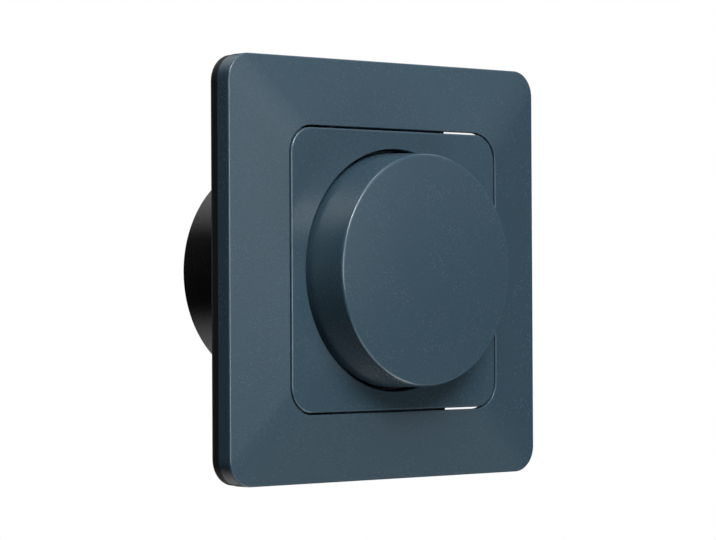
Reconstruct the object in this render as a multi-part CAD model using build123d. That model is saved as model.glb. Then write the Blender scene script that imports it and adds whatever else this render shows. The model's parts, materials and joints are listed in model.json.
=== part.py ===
"""Wall dimmer switch: cover, push and turn knob, mounting plate and wall-box insert.

Millimetres. The origin is the centre of the wall plane, +Z is up and the knob faces -Y.
Heights are measured from the wall: positive towards the room, negative into the wall box.
"""
import math
import os

from build123d import *

# Cover frame
FRAME_SIDE = 82.6
FRAME_CORNER = 5.2
FRAME_EDGE_HEIGHT = 5.5
FRAME_WALL = 1.8
FRAME_EDGE_ROUND = 0.3
OPENING_ROUND = 0.15
HOOK_WIDTH = 6.0
HOOK_THICKNESS = 1.5
HOOK_BITE = 1.1
HOOK_FOOT = 0.3
HOOK_NOSE = 0.6
HOOK_GAP = 0.25

# Centre plate
FACE_HEIGHT = 7.8
PLATE_SIDE = 55.1
PLATE_CORNER = 5.2
PLATE_GAP = 0.4
PLATE_WALL = 1.5
PLATE_EDGE_ROUND = 0.3
TONGUE_LENGTH = 30.8
TONGUE_REACH = 1.0
TONGUE_THICKNESS = 1.0
TONGUE_GAP = 0.4
WELL_FLOOR = 1.4
WELL_DEPTH = 3.6
WELL_EDGE_ROUND = 0.12
PEG_RADIUS = 1.2
PEG_LENGTH = 1.4
PEG_RING = 14.0

# Knob
KNOB_DIAMETER = 46.2
KNOB_HEIGHT = 9.1
KNOB_CROWN = 1.0
KNOB_SINK = 1.8
KNOB_DRAFT = 2.3
KNOB_EDGE_ROUND = 0.5
KNOB_GAP = 0.85
KNOB_WALL = 1.7
KNOB_RIBS = 6
KNOB_RIB_START = 15.0
KNOB_RIB_WIDTH = 1.2
KNOB_RIB_DEPTH = 3.0
HUB_RADIUS = 4.8
HUB_CLEARANCE = 0.8
CLIP_WIRE = 0.7
CLIP_ANGLE = 290.0

# Mounting plate
RIM_INSET = 0.1
RIM_THICKNESS = 2.0
RIM_WIDTH = 4.8
RIM_CHAMFER = 0.2
ARM_WIDTH = 37.0
WINDOW_CORNER = 2.5
SEAT_DEPTH = 0.5
SEAT_CLEARANCE = 0.2
BOX_SCREW_SPACING = 60.0
BOX_SLOT_WIDTH = 3.6
BOX_SLOT_LENGTH = 7.0
NOTCH_CLEARANCE = 0.5

# Insert housing
HOUSING_DIAMETER = 45.2
HOUSING_DEPTH = 30.9
HOUSING_WALL = 1.6
HOUSING_CHAMFER = 0.2
POST_RADIUS = 2.6
POST_DEPTH = 12.0
POST_SINK = 0.8
SCREW_RADIUS = 1.1
SCREW_HEAD_RADIUS = 2.0
SCREW_HEAD_HEIGHT = 1.2
SCREW_LENGTH = 9.0
SCREW_SLOT = 0.5
FIT = 0.1

# Potentiometer with push switch
SHAFT_RADIUS = 3.0
SHAFT_FLAT = 1.5
SHAFT_CLEARANCE = 0.05
PUSH_TRAVEL = 1.2
BUSH_RADIUS = 5.0
BUSH_RISE = 0.7
BUSH_CHAMFER = 0.4
POT_SIDE = 16.0
POT_CORNER = 1.0
POT_FLANGE = 1.2
POT_BORE = 6.9
POT_STEP = 0.3
COLLAR_RADIUS = 4.0
COLLAR_THICKNESS = 1.0
LEDGE_THICKNESS = 0.8
RUNNING_GAP = 0.1
ROTOR_RADIUS = 5.6
ROTOR_THICKNESS = 1.6
ROTOR_TAB = 0.8
ROTOR_TAB_ANGLE = 24.0
STOP_ANGLE = 34.0
WIPER_THICKNESS = 0.3
WIPER_ANGLE = 80.0
WAFER_THICKNESS = 1.0
WAFER_CLEARANCE = 0.5
PLUNGER_THICKNESS = 1.6
PLUNGER_GAP = 0.6
BRIDGE_CLEARANCE = 0.5
KEYWAY_ANGLE = 20.0
KEY_SLACK = 5.0
SPRING_LENGTH = 4.8
SPRING_RADIUS = 3.2
SPRING_WIRE = 0.5
SPRING_TURNS = 3.0
POT_BASE = 1.2
PIN_WIDTH = 0.8
PIN_THICKNESS = 0.4
PIN_PITCH = 2.5
PIN_COUNT = 3

# Nut and washer
NUT_FLATS = 14.0
NUT_THICKNESS = 2.2
WASHER_RADIUS = 7.5
WASHER_THICKNESS = 0.5
WASHER_TEETH = 8
WASHER_NOTCH_DEPTH = 2.0
WASHER_NOTCH_WIDTH = 1.4

# Circuit board and what it carries
BOARD_THICKNESS = 1.6
BOARD_GAP = 0.3
RIB_WIDTH = 1.4
RIB_DEPTH = 1.6
TRANSISTOR_WIDTH = 6.6
TRANSISTOR_LENGTH = 6.2
TRANSISTOR_THICKNESS = 2.3
TRANSISTOR_PITCH = 9.0
TRANSISTOR_EDGE = 4.6
LEAD_WIDTH = 1.0
LEAD_LENGTH = 1.2
LEAD_THICKNESS = 0.6
SPREADER_THICKNESS = 1.2
CHOKE_RADIUS = 5.6
CHOKE_BORE = 2.6
CHOKE_HEIGHT = 6.0
CHOKE_COVER = 0.5
CHOKE_EDGE = 3.9
WINDING_ANGLE = 300.0
CAPACITOR_RADIUS = 4.8
CAPACITOR_GAP = 2.8
CAPACITOR_EDGE = 3.9
CAPACITOR_ROUND = 0.5
FILM_WIDTH = 9.0
FILM_DEPTH = 5.0
FILM_GAP = 3.8
FILM_RISE = 4.0
FUSE_WIDTH = 8.4
FUSE_DEPTH = 4.0
FUSE_GAP = 5.3
FUSE_RISE = -4.2

# Terminals
TERMINAL_COUNT = 4
TERMINAL_PITCH = 5.08
TERMINAL_SINK = 4.4
TERMINAL_DEPTH = 8.2
TERMINAL_INSET = 3.1
TERMINAL_CLEARANCE = 0.3
TERMINAL_BEVEL = 1.6
ENTRY_SIDE = 3.7
ENTRY_RISE = 3.9
ENTRY_DEPTH = 7.0
CAGE_LENGTH = 4.1
CAGE_WALL = 0.4
CAGE_CLEARANCE = 0.05
TERMINAL_SCREW_RADIUS = 1.5
TERMINAL_TIP_RADIUS = 1.2
TERMINAL_SCREW_SLOT = 0.6
TERMINAL_SCREW_SINK = 0.6
POCKET_WALL = 1.4

# Sizes that follow from the ones above
OPENING_SIDE = PLATE_SIDE + 2 * PLATE_GAP
OPENING_CORNER = PLATE_CORNER + PLATE_GAP
RIM_SIDE = FRAME_SIDE - 2 * RIM_INSET
RIM_CORNER = FRAME_CORNER + RIM_INSET
RIM_INNER = RIM_SIDE / 2 - RIM_WIDTH
TONGUE_TOP = FACE_HEIGHT - FRAME_WALL - TONGUE_GAP
PLATE_BACK = TONGUE_TOP - TONGUE_THICKNESS
WELL_RADIUS = KNOB_DIAMETER / 2 + KNOB_GAP
FLOOR_TOP = FACE_HEIGHT - WELL_DEPTH
FLOOR_BACK = FLOOR_TOP - WELL_FLOOR
SCREW_SEAT = FLOOR_BACK - SCREW_HEAD_HEIGHT
HOUSING_RADIUS = HOUSING_DIAMETER / 2
HOUSING_BORE = HOUSING_RADIUS - HOUSING_WALL
POST_RING = HOUSING_BORE - POST_RADIUS + POST_SINK
KEYWAY_RADIUS = POT_BORE + 2 * POT_STEP
KNOB_FRONT = FACE_HEIGHT + KNOB_HEIGHT
KNOB_BACK = FACE_HEIGHT - KNOB_SINK

# Heights of the potentiometer stack, from the mounting plate into the wall box
FLANGE_BACK = SEAT_DEPTH - POT_FLANGE
COLLAR_TOP = FLANGE_BACK - RUNNING_GAP
COLLAR_BACK = COLLAR_TOP - COLLAR_THICKNESS
ROTOR_TOP = COLLAR_BACK - PUSH_TRAVEL - 2 * RUNNING_GAP
ROTOR_BACK = ROTOR_TOP - ROTOR_THICKNESS
WAFER_TOP = ROTOR_BACK - WIPER_THICKNESS - RUNNING_GAP
WAFER_BACK = WAFER_TOP - WAFER_THICKNESS
PLUNGER_TOP = WAFER_BACK - PLUNGER_GAP
PLUNGER_BACK = PLUNGER_TOP - PLUNGER_THICKNESS
BASE_TOP = PLUNGER_BACK - SPRING_LENGTH
BOARD_TOP = BASE_TOP - POT_BASE
BOARD_BACK = BOARD_TOP - BOARD_THICKNESS
NUT_SEAT = FLOOR_TOP + WASHER_THICKNESS
BUSH_FRONT = NUT_SEAT + NUT_THICKNESS + BUSH_RISE
HUB_BACK = BUSH_FRONT + PUSH_TRAVEL + HUB_CLEARANCE
HUB_SEAT = KNOB_FRONT - KNOB_WALL
SHAFT_FRONT = HUB_SEAT - RUNNING_GAP
SHAFT_BACK = PLUNGER_TOP + RUNNING_GAP / 2

# Places of what the board carries, in the room between the board and the housing's end
BOARD_RADIUS = HOUSING_BORE - BOARD_GAP
BOARD_ROOM = BOARD_BACK + HOUSING_DEPTH - HOUSING_WALL
TRANSISTOR_RISE = BOARD_RADIUS - TRANSISTOR_EDGE - TRANSISTOR_LENGTH / 2
CHOKE_SHIFT = BOARD_RADIUS - CHOKE_EDGE - CHOKE_RADIUS
CAPACITOR_SHIFT = BOARD_RADIUS - CAPACITOR_EDGE - CAPACITOR_RADIUS
CAPACITOR_HEIGHT = BOARD_ROOM - CAPACITOR_GAP
FILM_HEIGHT = BOARD_ROOM - FILM_GAP
FUSE_HEIGHT = BOARD_ROOM - FUSE_GAP
TERMINAL_WIDTH = TERMINAL_COUNT * TERMINAL_PITCH
TERMINAL_BACK = TERMINAL_SINK - HOUSING_DEPTH
TERMINAL_BOTTOM = TERMINAL_INSET - HOUSING_RADIUS
TERMINAL_TOP = TERMINAL_BOTTOM + TERMINAL_DEPTH
TERMINAL_MIDDLE = TERMINAL_BOTTOM + TERMINAL_DEPTH / 2
ENTRY_HEIGHT = BOARD_BACK - ENTRY_RISE

PROFILE = Plane(origin=(0, 0, 0), x_dir=(1, 0, 0), z_dir=(0, 0, -1))


def square(side, corner):
    """A rounded square outline centred on the axis."""
    return RectangleRounded(side, side, corner)


def slab(sketch, low, high):
    """A flat outline, X to the right and Z up, raised from one height to another."""
    return extrude(Plane.XZ.offset(low) * sketch, high - low)


def tapered(side_low, corner_low, low, side_high, corner_high, high):
    """A solid that tapers from one rounded square to another."""
    foot = Plane.XZ.offset(low) * square(side_low, corner_low)
    top = Plane.XZ.offset(high) * square(side_high, corner_high)
    return loft([foot, top], ruled=True)


def turned(points):
    """A solid turned about the axis from points of radius and height."""
    return revolve(PROFILE * make_face(Polyline(*points, close=True)), Axis.Y)


def edges_at(solid, height):
    """The edges of a solid that lie flat at one height."""
    return solid.edges().filter_by_position(Axis.Y, -height - 0.01, -height + 0.01)


def around(count, start=0.0):
    """Turns about the axis for a ring of equal pieces."""
    return [Rot(0, start + 360.0 * i / count, 0) for i in range(count)]


def repeated(places, outline):
    """One outline copied to several places."""
    return Sketch() + [place * outline for place in places]


def ring_of(radius, count, start, outline):
    """One outline copied round a circle, turned to face outwards."""
    return repeated(PolarLocations(radius, count, start_angle=start), outline)


def row_of(pitch, count, rise, outline):
    """One outline copied along a level row, at a rise above the axis."""
    return Pos(0, rise) * repeated(GridLocations(pitch, 0, count, 1), outline)


def screw_ring(outline):
    """One outline copied to each housing screw."""
    return ring_of(POST_RING, 4, 45, outline)


def sector(inner, outer, angle, middle):
    """Part of a flat ring, spread evenly about a direction."""
    start = middle - angle / 2
    far = CenterArc((0, 0), outer, start, angle)
    near = CenterArc((0, 0), inner, start, angle)
    return make_face([far, near, Line(far @ 0, near @ 0), Line(far @ 1, near @ 1)])


def pair_of_sectors(inner, outer, angle, middle):
    """Two equal parts of a flat ring, opposite each other."""
    return sector(inner, outer, angle, middle) + sector(inner, outer, angle, middle + 180)


def d_section(clearance=0.0):
    """The flatted round of the shaft, or of a hole that slides on it."""
    round_part = Circle(SHAFT_RADIUS + clearance)
    cut = Rectangle(4 * SHAFT_RADIUS, 4 * SHAFT_RADIUS, align=(Align.CENTER, Align.MIN))
    return round_part - Pos(0, SHAFT_FLAT + clearance) * cut


def frame_hook():
    """One snap hook of the cover frame, on the upper side and right of the middle."""
    outer = RIM_INNER - HOOK_GAP
    inner = outer - HOOK_THICKNESS
    slope = (FACE_HEIGHT - FRAME_EDGE_HEIGHT) / (FRAME_SIDE / 2 - OPENING_SIDE / 2)
    root = FACE_HEIGHT - slope * (outer - OPENING_SIDE / 2) - FRAME_WALL / 2
    nose = HOOK_FOOT + HOOK_NOSE
    stem = Polyline(
        (inner, root),
        (outer, root),
        (outer, nose),
        (outer + HOOK_BITE, nose),
        (outer, HOOK_FOOT),
        (inner, HOOK_FOOT),
        close=True,
    )
    place = (ARM_WIDTH / 2 + RIM_INNER) / 2
    upright = Plane(origin=(place, 0, 0), x_dir=(0, 0, 1), z_dir=(1, 0, 0))
    return extrude(upright * make_face(stem), HOOK_WIDTH / 2, both=True)


def make_cover_frame():
    """Blue-grey frame: sloping band, side skirt, square opening and snap hooks."""
    skirt = slab(square(FRAME_SIDE, FRAME_CORNER), RIM_THICKNESS, FRAME_EDGE_HEIGHT)
    band = tapered(
        FRAME_SIDE, FRAME_CORNER, FRAME_EDGE_HEIGHT,
        OPENING_SIDE, OPENING_CORNER, FACE_HEIGHT,
    )
    shell = fillet(edges_at(skirt + band, FRAME_EDGE_HEIGHT), FRAME_EDGE_ROUND)
    hollow_side = FRAME_SIDE - 2 * FRAME_WALL
    hollow_corner = FRAME_CORNER - FRAME_WALL
    hollow_edge = FRAME_EDGE_HEIGHT - FRAME_WALL
    shell -= slab(square(hollow_side, hollow_corner), RIM_THICKNESS, hollow_edge)
    shell -= tapered(
        hollow_side, hollow_corner, hollow_edge,
        OPENING_SIDE, OPENING_CORNER, FACE_HEIGHT - FRAME_WALL,
    )
    shell -= slab(square(OPENING_SIDE, OPENING_CORNER), 0, FACE_HEIGHT)
    shell = fillet(edges_at(shell, FACE_HEIGHT), OPENING_ROUND)
    hook = frame_hook()
    for turn in around(4):
        shell += turn * hook
        shell += turn * mirror(hook, Plane.YZ)
    return shell


def plate_tongues():
    """Outline of the tongues that reach behind the frame from the plate's four sides."""
    span = PLATE_SIDE + 2 * TONGUE_REACH
    return Rectangle(span, TONGUE_LENGTH) + Rectangle(TONGUE_LENGTH, span)


def make_centre_plate():
    """Blue-grey plate with the round well that the knob sits in."""
    outline = square(PLATE_SIDE, PLATE_CORNER)
    plate = slab(outline, PLATE_BACK, FACE_HEIGHT)
    plate = fillet(edges_at(plate, FACE_HEIGHT), PLATE_EDGE_ROUND)
    inner = square(PLATE_SIDE - 2 * PLATE_WALL, PLATE_CORNER - PLATE_WALL)
    plate += slab(plate_tongues(), PLATE_BACK, TONGUE_TOP)
    plate -= slab(inner, PLATE_BACK, FACE_HEIGHT - PLATE_WALL)
    reach = PLATE_SIDE / math.sqrt(2) - PLATE_CORNER
    brace = Rectangle(2 * reach, PLATE_WALL)
    braces = Rot(0, 0, 45) * brace + Rot(0, 0, -45) * brace
    plate += slab(braces, PLATE_BACK, FACE_HEIGHT - PLATE_WALL)
    cup = Circle(WELL_RADIUS + PLATE_WALL) & outline
    plate += slab(cup, FLOOR_BACK, FACE_HEIGHT - PLATE_WALL / 2)
    plate -= slab(Circle(WELL_RADIUS), FLOOR_TOP, FACE_HEIGHT)
    mouth = edges_at(plate, FACE_HEIGHT).filter_by(GeomType.CIRCLE)
    plate = fillet(mouth.sort_by(SortBy.RADIUS)[-1], WELL_EDGE_ROUND)
    plate -= slab(Circle(BUSH_RADIUS + FIT), FLOOR_BACK, FLOOR_TOP)
    plate += slab(ring_of(PEG_RING, 2, 90, Circle(PEG_RADIUS)), FLOOR_BACK - PEG_LENGTH, FLOOR_TOP)
    return plate


def make_knob():
    """Hollow blue-grey knob: crowned face, tapered side, ribs and a flatted hub bore."""
    lean = math.tan(math.radians(KNOB_DRAFT))
    base = KNOB_DIAMETER / 2 + KNOB_SINK * lean
    rim = KNOB_DIAMETER / 2 - KNOB_HEIGHT * lean
    inside = KNOB_FRONT - KNOB_WALL
    top = (0, KNOB_FRONT + KNOB_CROWN)
    side = Polyline(top, (0, KNOB_BACK), (base, KNOB_BACK), (rim, KNOB_FRONT))
    crown = TangentArc(top, (rim, KNOB_FRONT), tangent=(1, 0))
    knob = revolve(PROFILE * make_face([side, crown]), Axis.Y)
    knob = fillet(edges_at(knob, KNOB_FRONT), KNOB_EDGE_ROUND)
    knob -= turned([
        (0, KNOB_BACK),
        (base - KNOB_WALL, KNOB_BACK),
        (rim - KNOB_WALL, inside),
        (0, inside),
    ])
    rib = Rectangle(rim - KNOB_WALL / 2, KNOB_RIB_WIDTH, align=(Align.MIN, Align.CENTER))
    ribs = slab(rib, inside - KNOB_RIB_DEPTH, inside + KNOB_WALL / 2)
    for turn in around(KNOB_RIBS, KNOB_RIB_START):
        knob += turn * ribs
    knob += slab(Circle(HUB_RADIUS), HUB_BACK, inside + KNOB_WALL / 2)
    return knob - slab(d_section(SHAFT_CLEARANCE), HUB_BACK, HUB_SEAT)


def make_knob_clip():
    """Open spring ring that grips the knob's hub on the shaft."""
    low = HUB_BACK + CLIP_WIRE
    return slab(sector(HUB_RADIUS, HUB_RADIUS + CLIP_WIRE, CLIP_ANGLE, -90), low, low + CLIP_WIRE)


def make_shaft():
    """Shaft with a flat at each end and the collar that stops it behind the bush."""
    shaft = slab(Circle(SHAFT_RADIUS), COLLAR_BACK, BUSH_FRONT)
    shaft += slab(d_section(), SHAFT_BACK, COLLAR_BACK)
    shaft += slab(d_section(), BUSH_FRONT, SHAFT_FRONT)
    return shaft + slab(Circle(COLLAR_RADIUS), COLLAR_BACK, COLLAR_TOP)


def make_mounting_plate():
    """Black plate: rim under the frame, wide arms, open corners and the insert's seat."""
    plate = slab(square(RIM_SIDE, RIM_CORNER), 0, RIM_THICKNESS)
    plate = chamfer(edges_at(plate, 0), RIM_CHAMFER)
    window = RIM_INNER - ARM_WIDTH / 2
    middle = (RIM_INNER + ARM_WIDTH / 2) / 2
    opening = slab(Pos(middle, middle) * square(window, WINDOW_CORNER), 0, RIM_THICKNESS)
    slot = SlotOverall(BOX_SLOT_LENGTH, BOX_SLOT_WIDTH)
    box_slot = slab(Pos(BOX_SCREW_SPACING / 2, 0) * slot, 0, RIM_THICKNESS)
    bite = HOOK_BITE + HOOK_GAP
    notch = Rectangle(HOOK_WIDTH + 2 * NOTCH_CLEARANCE, bite + HOOK_GAP)
    notch = Pos(middle, RIM_INNER + bite / 2 - HOOK_GAP) * notch
    pocket = slab(notch, 0, HOOK_FOOT + HOOK_NOSE + RUNNING_GAP)
    for turn in around(4):
        plate -= turn * opening
        plate -= turn * box_slot
        plate -= turn * pocket
        plate -= turn * mirror(pocket, Plane.YZ)
    plate += slab(Circle(HOUSING_RADIUS), RIM_THICKNESS / 2, FLOOR_BACK)
    plate -= slab(Circle(HOUSING_RADIUS + SEAT_CLEARANCE), 0, SEAT_DEPTH)
    plate -= slab(Circle(BUSH_RADIUS + FIT), 0, FLOOR_BACK)
    plate -= slab(screw_ring(Circle(SCREW_RADIUS + FIT)), 0, FLOOR_BACK)
    plate -= slab(screw_ring(Circle(SCREW_HEAD_RADIUS + FIT)), SCREW_SEAT, FLOOR_BACK)
    return plate - slab(ring_of(PEG_RING, 2, 90, Circle(PEG_RADIUS + FIT)), 0, FLOOR_BACK)


def make_housing_screws():
    """Four pan screws that draw the housing up to the mounting plate."""
    screws = slab(screw_ring(Circle(SCREW_RADIUS)), SCREW_SEAT - SCREW_LENGTH, SCREW_SEAT)
    screws += slab(screw_ring(Circle(SCREW_HEAD_RADIUS)), SCREW_SEAT, FLOOR_BACK)
    slots = screw_ring(Rectangle(SCREW_SLOT, 3 * SCREW_HEAD_RADIUS))
    return screws - slab(slots, FLOOR_BACK - SCREW_SLOT, FLOOR_BACK)


def terminal_pocket(margin, low, high):
    """The rear pocket that holds the terminals, open below and behind."""
    top = TERMINAL_TOP + margin
    width = TERMINAL_WIDTH + 2 * margin
    hole = Rectangle(width, top + HOUSING_DIAMETER, align=(Align.CENTER, Align.MIN))
    return slab(Pos(0, -HOUSING_DIAMETER) * hole, low, high)


def make_housing():
    """Round black cup with screw posts, board ribs and the terminal pocket."""
    cup = slab(Circle(HOUSING_RADIUS), -HOUSING_DEPTH, SEAT_DEPTH)
    cup = chamfer(edges_at(cup, -HOUSING_DEPTH), HOUSING_CHAMFER)
    body = cup
    cup -= slab(Circle(HOUSING_BORE), -HOUSING_DEPTH + HOUSING_WALL, SEAT_DEPTH)
    cup += slab(screw_ring(Circle(POST_RADIUS)), SEAT_DEPTH - POST_DEPTH, SEAT_DEPTH) & body
    cup -= slab(screw_ring(Circle(SCREW_RADIUS + FIT / 2)), SEAT_DEPTH - POST_DEPTH, SEAT_DEPTH)
    rib = Rectangle(RIB_DEPTH + HOUSING_WALL / 2, RIB_WIDTH, align=(Align.MIN, Align.CENTER))
    ribs = repeated(PolarLocations(HOUSING_BORE - RIB_DEPTH, 3, 0, 180, endpoint=True), rib)
    cup += slab(ribs, -HOUSING_DEPTH + HOUSING_WALL / 2, BOARD_BACK) & body
    pocket_front = BOARD_BACK - BOARD_GAP
    cup += terminal_pocket(TERMINAL_CLEARANCE + POCKET_WALL, -HOUSING_DEPTH, pocket_front) & body
    return cup - terminal_pocket(TERMINAL_CLEARANCE, -HOUSING_DEPTH, BOARD_BACK + BOARD_GAP)


def make_pot_bush():
    """Metal flange and threaded bush that carries the shaft through the plates."""
    bush = slab(square(POT_SIDE, POT_CORNER), FLANGE_BACK, SEAT_DEPTH)
    bush += slab(Circle(BUSH_RADIUS), SEAT_DEPTH, BUSH_FRONT)
    bush = chamfer(edges_at(bush, BUSH_FRONT), BUSH_CHAMFER)
    return bush - slab(Circle(SHAFT_RADIUS + SHAFT_CLEARANCE), FLANGE_BACK, BUSH_FRONT)


def make_pot_case():
    """Casing with the rotor ledge, the turning stop and the keyways of the plunger."""
    case = slab(square(POT_SIDE, POT_CORNER), BASE_TOP, FLANGE_BACK)
    ledge = ROTOR_TOP + RUNNING_GAP
    case -= slab(Circle(POT_BORE), WAFER_TOP, ledge)
    case -= slab(Circle(POT_BORE), ledge + LEDGE_THICKNESS, FLANGE_BACK)
    case -= slab(Circle(COLLAR_RADIUS + FIT), ledge, ledge + LEDGE_THICKNESS)
    case -= slab(Circle(POT_BORE + POT_STEP), BASE_TOP, WAFER_TOP)
    stop = sector(ROTOR_RADIUS + FIT, POT_BORE + POT_STEP, STOP_ANGLE, -90)
    case += slab(stop, ROTOR_BACK, ledge)
    keyways = pair_of_sectors(POT_BORE, KEYWAY_RADIUS, KEYWAY_ANGLE, 0)
    return case - slab(keyways, BASE_TOP, WAFER_TOP)


def make_pot_base():
    """Plate that closes the casing and seats the return spring."""
    return slab(square(POT_SIDE, POT_CORNER), BOARD_TOP, BASE_TOP)


def make_pot_pins():
    """Three connection pins along the casing, down to the circuit board."""
    below = -POT_SIDE / 2 - PIN_THICKNESS / 2
    pins = row_of(PIN_PITCH, PIN_COUNT, below, Rectangle(PIN_WIDTH, PIN_THICKNESS))
    return slab(pins, BOARD_TOP, WAFER_TOP)


def make_resistance_wafer():
    """Round wafer with the resistance track under the wiper."""
    wafer = slab(Circle(POT_BORE + POT_STEP / 2), WAFER_BACK, WAFER_TOP)
    return wafer - slab(Circle(SHAFT_RADIUS + WAFER_CLEARANCE), WAFER_BACK, WAFER_TOP)


def make_wiper_rotor():
    """Rotor driven by the shaft's flat, with the tab that meets the stop."""
    tab = sector(ROTOR_RADIUS / 2, ROTOR_RADIUS + ROTOR_TAB, ROTOR_TAB_ANGLE, 90)
    outline = Circle(ROTOR_RADIUS) + tab - d_section(SHAFT_CLEARANCE)
    return slab(outline, ROTOR_BACK, ROTOR_TOP)


def make_wiper_contact():
    """Two-armed contact under the rotor."""
    bore = SHAFT_RADIUS + 2 * FIT
    arms = pair_of_sectors(bore, ROTOR_RADIUS - FIT, WIPER_ANGLE, 90)
    ring = Circle((bore + ROTOR_RADIUS) / 2) - Circle(bore)
    return slab(arms + ring, ROTOR_BACK - WIPER_THICKNESS, ROTOR_BACK)


def make_switch_plunger():
    """Plunger that the shaft pushes, keyed so that it can't turn."""
    keys = pair_of_sectors(POT_BORE / 2, KEYWAY_RADIUS - 2 * FIT, KEYWAY_ANGLE - KEY_SLACK, 0)
    plunger = slab(Circle(POT_BORE - FIT) + keys, PLUNGER_BACK, PLUNGER_TOP)
    guide = Circle(SPRING_RADIUS - SPRING_WIRE / 2 - 2 * FIT)
    return plunger + slab(guide, PLUNGER_BACK - 2 * SPRING_WIRE, PLUNGER_TOP)


def make_bridge_contact():
    """Contact ring under the plunger, around the spring."""
    ring = Circle(POT_BORE - BRIDGE_CLEARANCE) - Circle(SPRING_RADIUS + SPRING_WIRE + FIT)
    return slab(ring, PLUNGER_BACK - WIPER_THICKNESS, PLUNGER_BACK)


def make_return_spring():
    """Coil spring between the plunger and the casing's base."""
    rise = SPRING_LENGTH - SPRING_WIRE
    path = Helix(pitch=rise / SPRING_TURNS, height=rise, radius=SPRING_RADIUS)
    wire = Plane(origin=path @ 0, z_dir=path % 0) * Circle(SPRING_WIRE / 2)
    coil = sweep(wire, path=path, is_frenet=True)
    return Pos(0, -BASE_TOP - SPRING_WIRE / 2, 0) * Rot(90, 0, 0) * coil


def make_fixing_nut():
    """Thin six-sided nut that clamps the centre plate."""
    flats = RegularPolygon(NUT_FLATS / 2, 6, major_radius=False)
    return slab(flats - Circle(BUSH_RADIUS + SHAFT_CLEARANCE), NUT_SEAT, NUT_SEAT + NUT_THICKNESS)


def make_lock_washer():
    """Toothed washer under the nut."""
    ring = Circle(WASHER_RADIUS) - Circle(BUSH_RADIUS + FIT)
    gaps = ring_of(WASHER_RADIUS, WASHER_TEETH, 0, Rectangle(WASHER_NOTCH_DEPTH, WASHER_NOTCH_WIDTH))
    return slab(ring - gaps, FLOOR_TOP, NUT_SEAT)


def make_circuit_board():
    """Round board, cut away around the housing's screw posts."""
    board = Circle(BOARD_RADIUS)
    board -= screw_ring(Circle(POST_RADIUS + BOARD_GAP))
    return slab(board, BOARD_BACK, BOARD_TOP)


def on_board(sketch, height):
    """An outline raised from the back of the circuit board."""
    return slab(sketch, BOARD_BACK - height, BOARD_BACK)


def make_power_transistors():
    """Two flat power transistors with their leads on the board."""
    body = Rectangle(TRANSISTOR_WIDTH, TRANSISTOR_LENGTH)
    pair = on_board(row_of(TRANSISTOR_PITCH, 2, TRANSISTOR_RISE, body), TRANSISTOR_THICKNESS)
    lead = Rectangle(LEAD_WIDTH, 2 * LEAD_LENGTH)
    leads = row_of(TRANSISTOR_WIDTH / 2, 2, -TRANSISTOR_LENGTH / 2, lead)
    return pair + on_board(row_of(TRANSISTOR_PITCH, 2, TRANSISTOR_RISE, leads), LEAD_THICKNESS)


def make_heat_spreader():
    """Aluminium strip across both transistors."""
    width = TRANSISTOR_PITCH + TRANSISTOR_WIDTH
    plate = Pos(0, TRANSISTOR_RISE) * Rectangle(width, TRANSISTOR_LENGTH)
    back = BOARD_BACK - TRANSISTOR_THICKNESS
    return slab(plate, back - SPREADER_THICKNESS, back)


def make_choke_core():
    """Ring core of the choke, lying on the board."""
    ring = Circle(CHOKE_RADIUS - CHOKE_COVER) - Circle(CHOKE_BORE + CHOKE_COVER)
    low = BOARD_BACK - CHOKE_HEIGHT + CHOKE_COVER
    return slab(Pos(-CHOKE_SHIFT, 0) * ring, low, BOARD_BACK - CHOKE_COVER)


def make_choke_winding():
    """Wire layer around most of the choke's core."""
    layer = sector(CHOKE_BORE, CHOKE_RADIUS, WINDING_ANGLE, 0)
    winding = on_board(Pos(-CHOKE_SHIFT, 0) * layer, CHOKE_HEIGHT)
    return winding - make_choke_core()


def make_smoothing_capacitor():
    """Round capacitor standing on the board."""
    can = on_board(Pos(CAPACITOR_SHIFT, 0) * Circle(CAPACITOR_RADIUS), CAPACITOR_HEIGHT)
    return fillet(edges_at(can, BOARD_BACK - CAPACITOR_HEIGHT), CAPACITOR_ROUND)


def make_suppression_capacitor():
    """Boxed film capacitor."""
    return on_board(Pos(0, FILM_RISE) * Rectangle(FILM_WIDTH, FILM_DEPTH), FILM_HEIGHT)


def make_fuse():
    """Small boxed fuse."""
    return on_board(Pos(0, FUSE_RISE) * Rectangle(FUSE_WIDTH, FUSE_DEPTH), FUSE_HEIGHT)


def terminal_row(outline, rise=TERMINAL_MIDDLE):
    """One outline copied to each terminal, left to right."""
    return row_of(TERMINAL_PITCH, TERMINAL_COUNT, rise, outline)


def make_terminal_block():
    """Black block with four wire entries below and four screw holes behind."""
    body = Rectangle(TERMINAL_WIDTH, TERMINAL_DEPTH)
    block = slab(Pos(0, TERMINAL_MIDDLE) * body, TERMINAL_BACK, BOARD_BACK)
    edge = edges_at(block, TERMINAL_BACK).filter_by(Axis.X).sort_by(Axis.Z)[0]
    block = chamfer(edge, TERMINAL_BEVEL)
    entry = Rectangle(ENTRY_SIDE, ENTRY_DEPTH, align=(Align.CENTER, Align.MIN))
    half = ENTRY_SIDE / 2
    block -= slab(terminal_row(entry, TERMINAL_BOTTOM), ENTRY_HEIGHT - half, ENTRY_HEIGHT + half)
    return block - slab(terminal_row(Circle(TERMINAL_SCREW_RADIUS + FIT)), TERMINAL_BACK, ENTRY_HEIGHT)


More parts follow.
